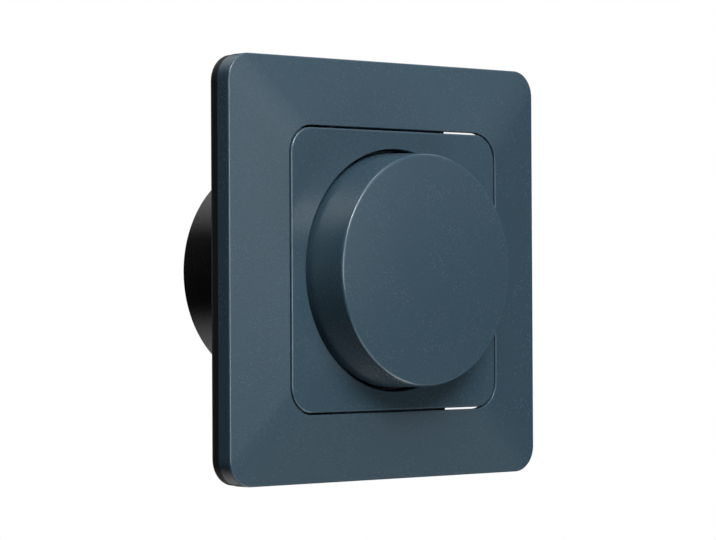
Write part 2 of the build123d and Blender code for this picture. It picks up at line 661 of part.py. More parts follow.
def make_clamp_cages():
    """Four square metal sleeves that grip the wires."""
    half = ENTRY_SIDE / 2 - CAGE_CLEARANCE
    bore = half - CAGE_WALL
    sleeve = Rectangle(2 * half, CAGE_LENGTH)
    cages = slab(terminal_row(sleeve), ENTRY_HEIGHT - half, ENTRY_HEIGHT + half)
    hollow = Rectangle(2 * bore, CAGE_LENGTH)
    cages -= slab(terminal_row(hollow), ENTRY_HEIGHT - bore, ENTRY_HEIGHT + bore)
    tapped = Circle(TERMINAL_TIP_RADIUS + CAGE_CLEARANCE)
    return cages - slab(terminal_row(tapped), ENTRY_HEIGHT - half, ENTRY_HEIGHT)


def make_terminal_screws():
    """Four slotted screws, sunk in the back of the terminal block."""
    head = TERMINAL_BACK + TERMINAL_SCREW_SINK
    cage = ENTRY_HEIGHT - ENTRY_SIDE / 2
    screws = slab(terminal_row(Circle(TERMINAL_SCREW_RADIUS)), head, cage)
    screws += slab(terminal_row(Circle(TERMINAL_TIP_RADIUS)), head, cage + 2 * CAGE_WALL)
    slots = terminal_row(Rectangle(TERMINAL_SCREW_SLOT, 4 * TERMINAL_SCREW_RADIUS))
    return screws - slab(slots, head, head + TERMINAL_SCREW_SLOT)


PIECES = {
    "cover_frame": make_cover_frame,
    "centre_plate": make_centre_plate,
    "knob": make_knob,
    "knob_clip": make_knob_clip,
    "shaft": make_shaft,
    "mounting_plate": make_mounting_plate,
    "housing": make_housing,
    "housing_screws": make_housing_screws,
    "fixing_nut": make_fixing_nut,
    "lock_washer": make_lock_washer,
    "pot_bush": make_pot_bush,
    "pot_case": make_pot_case,
    "pot_base": make_pot_base,
    "pot_pins": make_pot_pins,
    "resistance_wafer": make_resistance_wafer,
    "wiper_rotor": make_wiper_rotor,
    "wiper_contact": make_wiper_contact,
    "switch_plunger": make_switch_plunger,
    "bridge_contact": make_bridge_contact,
    "return_spring": make_return_spring,
    "circuit_board": make_circuit_board,
    "power_transistors": make_power_transistors,
    "heat_spreader": make_heat_spreader,
    "choke_core": make_choke_core,
    "choke_winding": make_choke_winding,
    "smoothing_capacitor": make_smoothing_capacitor,
    "suppression_capacitor": make_suppression_capacitor,
    "fuse": make_fuse,
    "terminal_block": make_terminal_block,
    "clamp_cages": make_clamp_cages,
    "terminal_screws": make_terminal_screws,
}

os.makedirs("parts", exist_ok=True)
for name, make in PIECES.items():
    export_step(make(), f"parts/{name}.step")
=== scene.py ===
"""Looks of the wall dimmer switch: blue-grey cover, black wall-box insert, studio and camera.

Sizes are in millimetres until a mesh is made. x runs to the right, z runs up, and a height
is measured from the wall towards the room, so that the knob faces -y.
"""
from __future__ import annotations

import json
import logging
import math
from abc import ABC, abstractmethod
from collections.abc import Mapping, Sequence
from dataclasses import dataclass
from enum import Enum
from typing import Any

import bmesh
import bpy
from mathutils import Matrix, Vector

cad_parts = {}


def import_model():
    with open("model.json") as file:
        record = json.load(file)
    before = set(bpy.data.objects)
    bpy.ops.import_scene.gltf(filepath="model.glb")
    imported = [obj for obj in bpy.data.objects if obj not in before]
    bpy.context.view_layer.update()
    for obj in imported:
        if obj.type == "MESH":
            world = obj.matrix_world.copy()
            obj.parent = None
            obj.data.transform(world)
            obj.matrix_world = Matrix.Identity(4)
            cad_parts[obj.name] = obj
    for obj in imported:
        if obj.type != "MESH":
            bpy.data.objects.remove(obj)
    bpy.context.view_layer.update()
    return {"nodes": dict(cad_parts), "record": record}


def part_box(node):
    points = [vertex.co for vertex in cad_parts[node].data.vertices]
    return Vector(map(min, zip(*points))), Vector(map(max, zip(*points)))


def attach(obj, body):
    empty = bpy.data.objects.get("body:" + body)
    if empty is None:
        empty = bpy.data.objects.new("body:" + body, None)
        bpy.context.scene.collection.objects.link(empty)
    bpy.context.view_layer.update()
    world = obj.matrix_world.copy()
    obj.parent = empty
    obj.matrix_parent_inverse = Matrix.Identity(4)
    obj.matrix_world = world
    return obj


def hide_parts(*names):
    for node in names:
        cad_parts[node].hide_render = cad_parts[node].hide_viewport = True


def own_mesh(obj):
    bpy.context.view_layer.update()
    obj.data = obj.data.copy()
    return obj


log = logging.getLogger("dimmer")

Colour = tuple[float, float, float]
Place = tuple[float, float, float]
Span = tuple[float, float]
Loop = list[bmesh.types.BMVert]

MM = 0.001
WHITE: Colour = (1.0, 1.0, 1.0)
FULL_TURN = 360.0
QUARTER = FULL_TURN / 4
QUARTER_TURNS = (0.0, QUARTER, 2 * QUARTER, 3 * QUARTER)
BOTH_SIDES = (-1, 1)

# Settings of a smooth step and of a colour mix, and the places of the mix's colour sockets.
SMOOTH_STEP = {"interpolation_type": "SMOOTHSTEP"}
COLOUR_MIX = {"data_type": "RGBA"}
MIX_FIRST, MIX_SECOND, MIX_RESULT = 6, 7, 2

# Noise: its mean, the strength of each finer layer beside the one before it, and the number
# of finer layers in a mould's grain, in soft clouds or working lines, and in patches.
NOISE_MIDDLE = 0.5
NOISE_FALLOFF = 0.6
GRAIN_DETAIL = 0.5
LINE_DETAIL = 3.0
PATCH_DETAIL = 4.0

# Rubbed edges, whose lighter colour is wear and a painted highlight: where the rubbing ends beside
# one, and the patches on it.
RUB_HIGHLIGHT_FADE = 0.15
RUB_HIGHLIGHT_PATCH = 1.6
RUB_HIGHLIGHT_CONTRAST: Span = (0.35, 0.65)


class Body(Enum):
    """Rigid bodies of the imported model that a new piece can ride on."""

    BASE = "base"
    KNOB = "knob"


class Slot(Enum):
    """Material slots of the record."""

    COVER = "cover_plastic"
    BLACK = "black_plastic"
    INNER = "inner_plastic"
    FILM = "film_yellow"
    STEEL = "steel"
    ZINC = "zinc"
    BRASS = "brass"
    WAFER = "wafer_brown"
    BOARD = "board_green"
    CHIP = "chip_black"
    ALUMINIUM = "aluminium"
    FERRITE = "ferrite"
    COPPER = "copper_wire"


@dataclass(frozen=True)
class Value:
    """A value in a shader, on which Python's operators add Math nodes."""

    graph: Graph
    socket: bpy.types.NodeSocket

    def __add__(self, other: Value | float) -> Value:
        """Sum of two values."""
        return self.graph.math("ADD", self, other)

    __radd__ = __add__

    def __sub__(self, other: Value | float) -> Value:
        """Difference of two values."""
        return self.graph.math("SUBTRACT", self, other)

    def __rsub__(self, other: float) -> Value:
        """Difference with a number on the left."""
        return self.graph.math("SUBTRACT", other, self)

    def __mul__(self, other: Value | float) -> Value:
        """Product of two values."""
        return self.graph.math("MULTIPLY", self, other)

    __rmul__ = __mul__

    def __or__(self, other: Value | float) -> Value:
        """The larger of two values, such as two masks."""
        return self.graph.math("MAXIMUM", self, other)

    def __abs__(self) -> Value:
        """Size of the value without its sign."""
        return self.graph.math("ABSOLUTE", self, 0.0)

    def between(self, low: float, high: float) -> Value:
        """A smooth step from 0 at the low value to 1 at the high one."""
        inputs = {"Value": self, "From Min": low, "From Max": high}
        return self.graph.node("ShaderNodeMapRange", SMOOTH_STEP, inputs).out("Result")


Input = Value | float | Sequence[float]


@dataclass(frozen=True)
class PlacedNode:
    """A node that has been placed, for reading its outputs."""

    graph: Graph
    node: bpy.types.Node

    def out(self, key: str | int = 0) -> Value:
        """An output of the node, by name or place."""
        return Value(self.graph, self.node.outputs[key])


class Graph:
    """The node tree of a material or of the world."""

    def __init__(self, tree: bpy.types.NodeTree) -> None:
        """Start an empty tree."""
        self.tree = tree
        tree.nodes.clear()

    def node(
        self,
        kind: str,
        settings: Mapping[str, Any] | None = None,
        inputs: Mapping[str | int, Input] | None = None,
    ) -> PlacedNode:
        """Place one node.

        Args:
            kind: Blender's type name of the node.
            settings: Properties of the node, which are set before its sockets.
            inputs: Values or links of its sockets, by name or place.

        Returns:
            The node, for reading its outputs.
        """
        made = self.tree.nodes.new(kind)
        for name, value in (settings or {}).items():
            setattr(made, name, value)
        for key, value in (inputs or {}).items():
            if isinstance(value, Value):
                self.tree.links.new(value.socket, made.inputs[key])
            else:
                made.inputs[key].default_value = value
        return PlacedNode(self, made)

    def math(self, operation: str, first: Value | float, second: Value | float) -> Value:
        """A Math node on two values."""
        settings = {"operation": operation}
        return self.node("ShaderNodeMath", settings, {0: first, 1: second}).out()

    def mix(self, factor: Value | float, first: Input, second: Input) -> Value:
        """A colour that goes from the first to the second with the factor."""
        inputs = {0: factor, MIX_FIRST: first, MIX_SECOND: second}
        return self.node("ShaderNodeMix", COLOUR_MIX, inputs).out(MIX_RESULT)

    def axes(self, vector: Value) -> PlacedNode:
        """The X, Y and Z parts of a vector."""
        return self.node("ShaderNodeSeparateXYZ", None, {0: vector})

    def noise(self, where: Value, grain: float, detail: float) -> Value:
        """Noise with a grain of some millimetres.

        Args:
            where: Coordinates in metres.
            grain: Size of one blob in millimetres.
            detail: Number of finer layers.

        Returns:
            The noise, from 0 to 1 and mostly near a half.
        """
        inputs = {
            "Vector": where,
            "Scale": 1 / (grain * MM),
            "Detail": detail,
            "Roughness": NOISE_FALLOFF,
        }
        return self.node("ShaderNodeTexNoise", None, inputs).out("Fac")

    def patchy(self, where: Value, least: float) -> Value:
        """Uneven strength of rubbing and of its painted highlight, from the least one between the
        patches to 1.
        """
        patches = self.noise(where, RUB_HIGHLIGHT_PATCH, PATCH_DETAIL).between(*RUB_HIGHLIGHT_CONTRAST)
        return least + patches * (1.0 - least)

    def bump(self, height: Value, depth: float, strength: float) -> Value:
        """A relief with a depth in millimetres."""
        inputs = {"Strength": strength, "Distance": depth * MM, "Height": height}
        return self.node("ShaderNodeBump", None, inputs).out()

    def place(self) -> Value:
        """Coordinates on the object, in metres."""
        return self.node("ShaderNodeTexCoord").out("Object")

    def stretched(self, where: Value, scale: Place) -> Value:
        """Coordinates multiplied along each axis."""
        settings = {"operation": "MULTIPLY"}
        return self.node("ShaderNodeVectorMath", settings, {0: where, 1: scale}).out()


def rgba(colour: Colour, gain: float = 1.0) -> tuple[float, float, float, float]:
    """A colour with full opacity, made lighter or darker by a gain."""
    return colour[0] * gain, colour[1] * gain, colour[2] * gain, 1.0


class Finish(ABC):
    """A look that can make a material."""

    @abstractmethod
    def shader(self, graph: Graph) -> Value:
        """Lay out the nodes of the look, up to its shader."""

    def material(self, name: str) -> bpy.types.Material:
        """Make the material.

        Args:
            name: Name of the material.

        Returns:
            The material.
        """
        material = bpy.data.materials.new(name)
        material.use_nodes = True
        graph = Graph(material.node_tree)
        graph.node("ShaderNodeOutputMaterial", None, {"Surface": self.shader(graph)})
        return material


@dataclass(frozen=True)
class MouldedPlastic(Finish):
    """Moulded plastic with a fine eroded grain and slightly polished edges, lightened as wear and
    as a painted highlight.

    Attributes:
        colour: Colour of the plastic, linear.
        roughness: Mean roughness of the skin.
        grain: Size of the mould's grain in millimetres.
        relief: Depth of the grain in millimetres.
        relief_strength: How much of that depth shows.
        grain_contrast: Levels of the grain between hollow and skin.
        grain_gain: Lightness of the hollows beside the skin.
        grain_rough: Change of roughness over the grain.
        cloud: Size of the soft clouds in the colour, in millimetres.
        cloud_tint: Change of lightness over the clouds, either way.
        cloud_rough: Change of roughness over the clouds.
        rub_highlight_least: Least strength of rubbing and of its painted highlight on a handled
            edge.
        rub_highlight_gain: Lightness of a fully rubbed edge beside the skin, as wear and as a
            painted highlight.
        rub_highlight_share: How far a handled edge goes towards that.
        polish: How much smoother handled edges are.
    """

    colour: Colour
    roughness: float
    grain: float = 0.4
    relief: float = 0.04
    relief_strength: float = 0.55
    grain_contrast: Span = (0.3, 0.7)
    grain_gain: float = 0.95
    grain_rough: float = 0.08
    cloud: float = 9.0
    cloud_tint: float = 0.035
    cloud_rough: float = 0.06
    rub_highlight_least: float = 0.7
    rub_highlight_gain: float = 1.5
    rub_highlight_share: float = 0.5
    polish: float = 0.08

    def shader(self, graph: Graph) -> Value:
        """Lay out the plastic.

        Args:
            graph: Node graph of the material.

        Returns:
            The shader.
        """
        where = graph.place()
        grain = graph.noise(where, self.grain, GRAIN_DETAIL)
        cloud = graph.noise(where, self.cloud, LINE_DETAIL)
        edge = graph.node("ShaderNodeAttribute", {"attribute_name": "edge"}).out("Fac")
        rub_highlight = edge * graph.patchy(where, self.rub_highlight_least)
        dark = rgba(self.colour, 1.0 - self.cloud_tint)
        light = rgba(self.colour, 1.0 + self.cloud_tint)
        skin = graph.mix(cloud, dark, light)
        hollow = rgba(self.colour, self.grain_gain)
        speckled = graph.mix(grain.between(*self.grain_contrast), hollow, skin)
        # Rubbed edges are lighter: wear, and a painted highlight in place of the light lines that
        # edges catch.
        worn_highlit = graph.mix(rub_highlight * self.rub_highlight_share, speckled, rgba(self.colour, self.rub_highlight_gain))
        clouded = self.roughness + (cloud - NOISE_MIDDLE) * self.cloud_rough
        rough = clouded + (grain - NOISE_MIDDLE) * self.grain_rough - rub_highlight * self.polish
        bump = graph.bump(grain, self.relief, self.relief_strength)
        inputs = {"Base Color": worn_highlit, "Roughness": rough, "Normal": bump}
        return graph.node("ShaderNodeBsdfPrincipled", None, inputs).out()


@dataclass(frozen=True)
class RimPlastic(Finish):
    """Dull black plastic of the mounting plate, whose rear edges carry a pale painted highlight.

    Attributes:
        colour: Colour of the plastic, linear.
        pale: Colour of the painted highlight on the rear edges, linear.
        roughness: Mean roughness of the skin.
        specular: Strength of the surface reflection.
        fade: Height above the wall at which the painted highlight ends.
        sideways: Lean of a surface towards the wall, from a side to a rear face.
        rub_highlight_least: Least strength of the painted highlight.
        grain: Size of the mould's grain in millimetres.
        grain_rough: Change of roughness over the grain.
    """

    colour: Colour
    pale: Colour
    roughness: float = 0.5
    specular: float = 0.2
    fade: float = 0.8
    sideways: Span = (0.3, 0.7)
    rub_highlight_least: float = 0.75
    grain: float = 0.4
    grain_rough: float = 0.1

    def shader(self, graph: Graph) -> Value:
        """Lay out the plastic.

        Args:
            graph: Node graph of the material.

        Returns:
            The shader.
        """
        where = graph.place()
        grain = graph.noise(where, self.grain, GRAIN_DETAIL)
        facing = graph.node("ShaderNodeNewGeometry").out("Normal")
        side = 1.0 - abs(graph.axes(facing).out("Y")).between(*self.sideways)
        rear = graph.axes(where).out("Y").between(-self.fade * MM, 0.0)
        # Painted highlight: a pale line along the rear edges of side faces, in place of the light
        # they catch.
        rub_highlight = rear * side * graph.patchy(where, self.rub_highlight_least)
        return graph.node("ShaderNodeBsdfPrincipled", None, {
            "Base Color": graph.mix(rub_highlight, rgba(self.colour), rgba(self.pale)),
            "Roughness": self.roughness + (grain - NOISE_MIDDLE) * self.grain_rough,
            "Specular IOR Level": self.specular,
        }).out()


@dataclass(frozen=True)
class WorkedMetal(Finish):
    """Rolled, turned or plated metal with fine lines and dull patches.

    Attributes:
        colour: Colour of the metal, linear.
        roughness: Mean roughness.
        tarnish: Colour of the dull patches, linear.
        lines: Stretch of the working lines along each axis.
        grain: Size of the lines in millimetres.
        line_depth: Depth of the lines in millimetres.
        line_strength: How much of that depth shows.
        line_rough: Change of roughness over the lines.
        patch: Size of the dull patches in millimetres.
        patch_contrast: Levels between bright and dull metal.
        patch_share: How far a patch goes towards the tarnish.
        patch_rough: Change of roughness over the patches.
    """

    colour: Colour
    roughness: float
    tarnish: Colour
    lines: Place = (1.0, 0.12, 1.0)
    grain: float = 0.12
    line_depth: float = 0.003
    line_strength: float = 0.4
    line_rough: float = 0.2
    patch: float = 2.2
    patch_contrast: Span = (0.45, 0.75)
    patch_share: float = 0.6
    patch_rough: float = 0.15

    def shader(self, graph: Graph) -> Value:
        """Lay out the metal.

        Args:
            graph: Node graph of the material.

        Returns:
            The shader.
        """
        where = graph.place()
        lines = graph.noise(graph.stretched(where, self.lines), self.grain, LINE_DETAIL)
        patch = graph.noise(where, self.patch, PATCH_DETAIL)
        dull = patch.between(*self.patch_contrast) * self.patch_share
        lined = self.roughness + (lines - NOISE_MIDDLE) * self.line_rough
        return graph.node("ShaderNodeBsdfPrincipled", None, {
            "Base Color": graph.mix(dull, rgba(self.colour), rgba(self.tarnish)),
            "Roughness": lined + (patch - NOISE_MIDDLE) * self.patch_rough,
            "Metallic": 1.0,
            "Normal": graph.bump(lines, self.line_depth, self.line_strength),
        }).out()


@dataclass(frozen=True)
class FloorPaper(Finish):
    """White paper that keeps the shadow near the part and fades to plain white beyond.

    Attributes:
        lightness: Lightness of the paper.
        shade_near: Distance up to which it shows the shadow, in metres.
        shade_far: Distance from which it is plain white.
    """

    lightness: float = 0.86
    shade_near: float = 0.3
    shade_far: float = 0.6

    def shader(self, graph: Graph) -> Value:
        """Lay out the paper.

        Args:
            graph: Node graph of the material.

        Returns:
            The shader.
        """
        flat = graph.stretched(graph.place(), (1.0, 1.0, 0.0))
        away = graph.node("ShaderNodeVectorMath", {"operation": "LENGTH"}, {0: flat}).out("Value")
        rays = graph.node("ShaderNodeLightPath")
        direct = rays.out("Is Camera Ray") | rays.out("Is Glossy Ray")
        seen = direct | rays.out("Is Transmission Ray")
        fade = seen * away.between(self.shade_near, self.shade_far)
        paper = graph.node("ShaderNodeBsdfDiffuse", None, {"Color": rgba(WHITE, self.lightness)})
        glow = graph.node("ShaderNodeEmission", None, {"Color": rgba(WHITE)})
        inputs = {0: fade, 1: paper.out(), 2: glow.out()}
        return graph.node("ShaderNodeMixShader", None, inputs).out()


FINISHES: dict[Slot, Finish] = {
    Slot.COVER: MouldedPlastic((0.0441, 0.0834, 0.1152), 0.26),
    Slot.BLACK: MouldedPlastic((0.0205, 0.021, 0.021), 0.22),
    Slot.INNER: MouldedPlastic((0.42, 0.40, 0.35), 0.45),
    Slot.FILM: MouldedPlastic((0.62, 0.40, 0.05), 0.4),
    Slot.STEEL: WorkedMetal((0.56, 0.56, 0.55), 0.34, tarnish=(0.38, 0.37, 0.35)),
    Slot.ZINC: WorkedMetal((0.66, 0.67, 0.69), 0.4, tarnish=(0.5, 0.49, 0.45)),
    Slot.BRASS: WorkedMetal((0.72, 0.52, 0.22), 0.3, tarnish=(0.42, 0.28, 0.12)),
    Slot.WAFER: MouldedPlastic((0.15, 0.065, 0.025), 0.5, grain=0.3),
    Slot.BOARD: MouldedPlastic((0.02, 0.14, 0.05), 0.38),
    Slot.CHIP: MouldedPlastic((0.015, 0.015, 0.016), 0.55, grain=0.1),
    Slot.ALUMINIUM: WorkedMetal(
        (0.78, 0.78, 0.79), 0.36, tarnish=(0.62, 0.62, 0.62), lines=(1.0, 1.0, 0.1),
    ),
    Slot.FERRITE: MouldedPlastic((0.05, 0.048, 0.046), 0.6, grain=0.3, relief=0.02),
    Slot.COPPER: WorkedMetal(
        (0.76, 0.33, 0.17), 0.28, tarnish=(0.45, 0.16, 0.07), lines=(1.0, 3.0, 1.0),
    ),
}


@dataclass(frozen=True)
class Extent:
    """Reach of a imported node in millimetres: half width, and rear and front heights."""

    half: float
    rear: float
    front: float

    @classmethod
    def of(cls, node: str) -> Extent:
        """Read the reach of a node from the frame."""
        low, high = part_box(node)
        return cls(high.x / MM, -high.y / MM, -low.y / MM)


@dataclass(frozen=True)
class Ring:
    """One loop of a swept wall: a rounded square, or a circle where the corner is as large.

    Attributes:
        half: Half of the width.
        corner: Radius of the corners.
        height: Height above the wall.
        edge: How exposed the loop is to rubbing, from 0 to 1, which also sets its painted edge
            highlight.
        flat: Level at which the loop is cut off above the axis.
    """

    half: float
    corner: float
    height: float
    edge: float = 0.0
    flat: float = math.inf

    def reach(self, angle: float) -> float:
        """Distance from the axis to the outline.

        Args:
            angle: Direction in degrees, from the right and upwards.

        Returns:
            The distance in millimetres.
        """
        if self.corner >= self.half:
            return self.half
        turn = math.radians(abs((angle + QUARTER / 2) % QUARTER - QUARTER / 2))
        straight = self.half - self.corner
        if self.half * math.tan(turn) <= straight:
            return self.half / math.cos(turn)
        along = straight * (math.cos(turn) + math.sin(turn))
        return along + math.sqrt(along ** 2 - 2 * straight ** 2 + self.corner ** 2)


@dataclass(frozen=True)
class Bend:
    """One corner of a wall's section, with the values of the loop that runs through it.

    Attributes:
        soften: Radius that the corner of the section is rounded to.
    """

    half: float
    corner: float
    height: float
    soften: float = 0.0
    edge: float = 0.0
    flat: float = math.inf

    def ring(self, spot: Vector, edge: float) -> Ring:
        """The loop through a spot near this corner of the section."""
        return Ring(spot.x, self.corner + spot.x - self.half, spot.y, edge, self.flat)

    def rings(self, before: Bend, after: Bend, steps: int = 6) -> list[Ring]:
        """Loops that take the section round this corner.

        Args:
            before: The corner before it.
            after: The corner after it.
            steps: Number of faces on the rounded edge.

        Returns:
            One loop for a sharp corner. A rounded one has one more than the steps, and a loop
            close to either side of them where it is rubbed, so that the rubbing and its painted
            highlight end there.
        """
        if self.soften == 0.0:
            return [Ring(self.half, self.corner, self.height, self.edge, self.flat)]
        here = Vector((self.half, self.height))
        back = Vector((before.half, before.height)) - here
        ahead = Vector((after.half, after.height)) - here
        turn = back.angle(ahead) / 2
        back.normalize()
        ahead.normalize()
        run = self.soften / math.tan(turn)
        middle = here + (back + ahead).normalized() * (self.soften / math.sin(turn))
        start = (here + back * run - middle).normalized()
        end = (here + ahead * run - middle).normalized()
        made = []
        for step in range(steps + 1):
            spot = middle + start.slerp(end, step / steps) * self.soften
            made.append(self.ring(spot, self.edge))
        if self.edge == 0.0:
            return made
        first, last = (self.ring(here + way * (run + RUB_HIGHLIGHT_FADE), 0.0) for way in (back, ahead))
        return [first] + made + [last]


def section(bends: Sequence[Bend]) -> list[Ring]:
    """Round the corners of a closed section.

    Args:
        bends: Its corners, in order and back to the first.

    Returns:
        The loops of the wall, in order.
    """
    made = []
    for index, bend in enumerate(bends):
        made += bend.rings(bends[index - 1], bends[(index + 1) % len(bends)])
    return made


def graded(first: Ring, last: Ring, count: int) -> list[Ring]:
    """Spread loops evenly between two others.

    Args:
        first: Loop before them.
        last: Loop after them.
        count: Number of loops.

    Returns:
        The loops, with neither of the two.
    """
    made = []
    for step in range(1, count + 1):
        share = step / (count + 1)
        made.append(Ring(
            first.half + (last.half - first.half) * share,
            first.corner + (last.corner - first.corner) * share,
            first.height + (last.height - first.height) * share,
        ))
    return made


def square_angles(corner_from: float = 38.0, wide: float = 2.5, close: float = 0.5) -> list[float]:
    """Directions round a rounded square, closer together at its corners.

    Args:
        corner_from: Direction in degrees at which a corner starts, from the middle of a side.
        wide: Step along a side in degrees.
        close: Step round a corner in degrees.

    Returns:
        The directions in degrees.
    """
    side_end = wide * math.floor(corner_from / wide)
    side = [wide * step - side_end for step in range(round(2 * side_end / wide) + 1)]
    corner_steps = round((QUARTER - 2 * corner_from) / close) + 1
    corner = [corner_from + close * step for step in range(corner_steps)]
    return [turn + angle for turn in QUARTER_TURNS for angle in side + corner]


def round_angles(count: int) -> list[float]:
    """Evenly spread directions round a circle in degrees."""
    return [FULL_TURN * step / count for step in range(count)]


def block(low: float, high: float, foot: float, top: float) -> tuple[Span, ...]:
    """Outline of a bar with a rectangular section."""
    return (low, foot), (low, top), (high, top), (high, foot)


class Shell:
    """Mesh of one piece, gathered from swept walls, tubes and straight bars."""

    bevel_steps: int = 2
    round_profile: float = 0.5
    normal_weight: int = 60

    def __init__(self) -> None:
        """Start an empty mesh with a value for rubbed edges, which also sets their painted
        highlight.
        """
        self.mesh = bmesh.new()
        self.edge = self.mesh.verts.layers.float.new("edge")

    def point(self, x: float, height: float, z: float, edge: float = 0.0) -> bmesh.types.BMVert:
        """Add one point.

        Args:
            x: Place to the right, in millimetres.
            height: Height above the wall.
            z: Place upwards.
            edge: How exposed it is to rubbing, from 0 to 1, which also sets its painted edge
                highlight.

        Returns:
            The point.
        """
        made = self.mesh.verts.new((x * MM, -height * MM, z * MM))
        made[self.edge] = edge
        return made

    def loop(self, ring: Ring, angles: Sequence[float], centre: Span) -> Loop:
        """Add the points of one loop.

        Args:
            ring: The loop.
            angles: Directions of its points in degrees.
            centre: Place of the axis, to the right and up.

        Returns:
            The points, or a single one for a loop of no width.
        """
        if ring.half <= 0.0:
            return [self.point(centre[0], ring.height, centre[1])]
        made = []
        for angle in angles:
            reach = ring.reach(angle)
            x = centre[0] + reach * math.cos(math.radians(angle))
            z = centre[1] + min(reach * math.sin(math.radians(angle)), ring.flat)
            made.append(self.point(x, ring.height, z, ring.edge))
        return made

    def sweep(
        self, rings: Sequence[Ring], angles: Sequence[float], centre: Span = (0.0, 0.0),
    ) -> None:
        """Add a closed wall that goes round the axis.

        Args:
            rings: Loops of the wall's section, in order and back to the first.
            angles: Directions of the points on each loop in degrees.
            centre: Place of the axis, to the right and up.
        """
        loops = [self.loop(ring, angles, centre) for ring in rings]
        for index, here in enumerate(loops):
            there = loops[(index + 1) % len(loops)]
            for spot in range(len(angles)):
                ends = [here[spot % len(here)], here[spot - 1 if len(here) > 1 else 0]]
                ends += [there[spot - 1 if len(there) > 1 else 0], there[spot % len(there)]]
                unique = list(dict.fromkeys(ends))
                if len(unique) > 2:
                    self.mesh.faces.new(unique)

    def tube(self, loops: Sequence[Loop]) -> None:
        """Add a wall from loop to loop and close both of its ends.

        Args:
            loops: Loops of points along the tube, each with as many points.
        """
        for here, there in zip(loops, loops[1:]):
            for spot in range(len(here)):
                self.mesh.faces.new((here[spot - 1], here[spot], there[spot], there[spot - 1]))
        self.mesh.faces.new(loops[0])
        self.mesh.faces.new(loops[-1][::-1])

    def bar(self, outline: Sequence[Span], ends: Span, turn: float, soften: float) -> None:
        """Add a straight bar along x with softened edges.

        Args:
            outline: Points of its section, up and away from the wall.
            ends: Left and right end.
            turn: Turn about the axis in degrees, after which it is in place.
            soften: Radius of its edges.
        """
        left, right = ([self.point(x, height, z) for z, height in outline] for x in ends)
        faces = [self.mesh.faces.new(left), self.mesh.faces.new(right[::-1])]
        for spot in range(len(outline)):
            wall = (left[spot - 1], left[spot], right[spot], right[spot - 1])
            faces.append(self.mesh.faces.new(wall))
        edges = list(dict.fromkeys(edge for face in faces for edge in face.edges))
        placed = Matrix.Rotation(math.radians(turn), 3, "Y")
        bmesh.ops.rotate(self.mesh, verts=left + right, cent=(0, 0, 0), matrix=placed)
        bmesh.ops.bevel(
            self.mesh, geom=edges, offset=soften * MM, segments=self.bevel_steps,
            profile=self.round_profile, affect="EDGES",
        )

    def piece(self, name: str) -> bpy.types.Object:
        """Turn the mesh into an object with smooth shading.

        Args:
            name: Name of the object.

        Returns:
            The object, linked to the scene.
        """
        bmesh.ops.recalc_face_normals(self.mesh, faces=self.mesh.faces)
        for face in self.mesh.faces:
            face.smooth = True
        data = bpy.data.meshes.new(name)
        self.mesh.to_mesh(data)
        self.mesh.free()
        made = bpy.data.objects.new(name, data)
        bpy.context.scene.collection.objects.link(made)
        made.modifiers.new("even_light", "WEIGHTED_NORMAL").weight = self.normal_weight
        settled = made.evaluated_get(bpy.context.evaluated_depsgraph_get())
        made.data = bpy.data.meshes.new_from_object(settled)
        made.modifiers.clear()
        made.data.name = name
        return made


@dataclass
class Assembly:
    """A sub-assembly that shares the finishes of the whole part."""

    materials: Mapping[Slot, bpy.types.Material]

    def settle(self, piece: bpy.types.Object, node: str, body: Body, slot: Slot) -> None:
        """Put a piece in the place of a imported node.

        Args:
            piece: The new piece.
            node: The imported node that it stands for.
            body: The body that it rides on.
            slot: The record's slot that it takes its finish from.
        """
        piece.data.materials.append(self.materials[slot])
        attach(piece, body.value)
        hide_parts(node)
        log.info("%s stands for %s on %s", piece.name, node, body.value)


